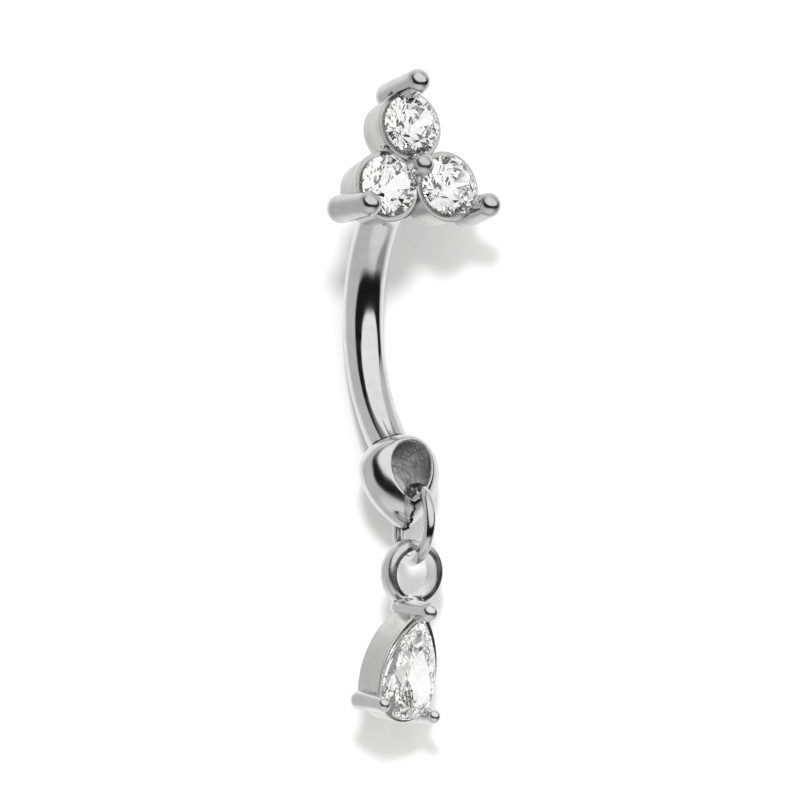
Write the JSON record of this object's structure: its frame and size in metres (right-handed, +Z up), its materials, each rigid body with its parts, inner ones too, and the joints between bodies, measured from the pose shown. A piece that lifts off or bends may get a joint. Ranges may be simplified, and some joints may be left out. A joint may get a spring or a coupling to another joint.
{
  "type": "rook barbell",
  "caption": "Curved body barbell with a cluster of round stones in cups for its head, and a pear stone in a pronged setting that swings on a jump ring from a bail at its foot.",
  "frame": {"origin": "middle of the post's length between head and bail, on the post's own centre line, where the pierced ridge of the ear sits", "axes": "+Z up along the post towards the three-stone head, -Y out of the front of the head and of the drop, +X to the right of someone looking at that front"},
  "size_m": [0.0053, 0.0051, 0.0196],
  "materials": {
    "polished_steel": "polished surgical steel, lightly satin on the cast cups",
    "clear_stone": "clear faceted cubic zirconia"
  },
  "bodies": {
    "root": {"post_with_bail": "polished_steel", "trinity_setting": "polished_steel", "stone_top": "clear_stone", "stone_left": "clear_stone", "stone_right": "clear_stone"},
    "link": {"jump_ring": "polished_steel"},
    "drop": {"pear_setting": "polished_steel", "pear_stone": "clear_stone"}
  },
  "joints": [
    {"name": "link_swing", "type": "hinge", "parent": "root", "child": "link", "pos_m": [0, -0.00282, -0.00523], "axis": [1, 0, 0], "range_deg": [-1, 60]},
    {"name": "drop_swing", "type": "hinge", "parent": "link", "child": "drop", "pos_m": [-0.00009, -0.00281, -0.00721], "axis": [0.1392, 0.9903, 0], "range_deg": [-45, 45]}
  ]
}
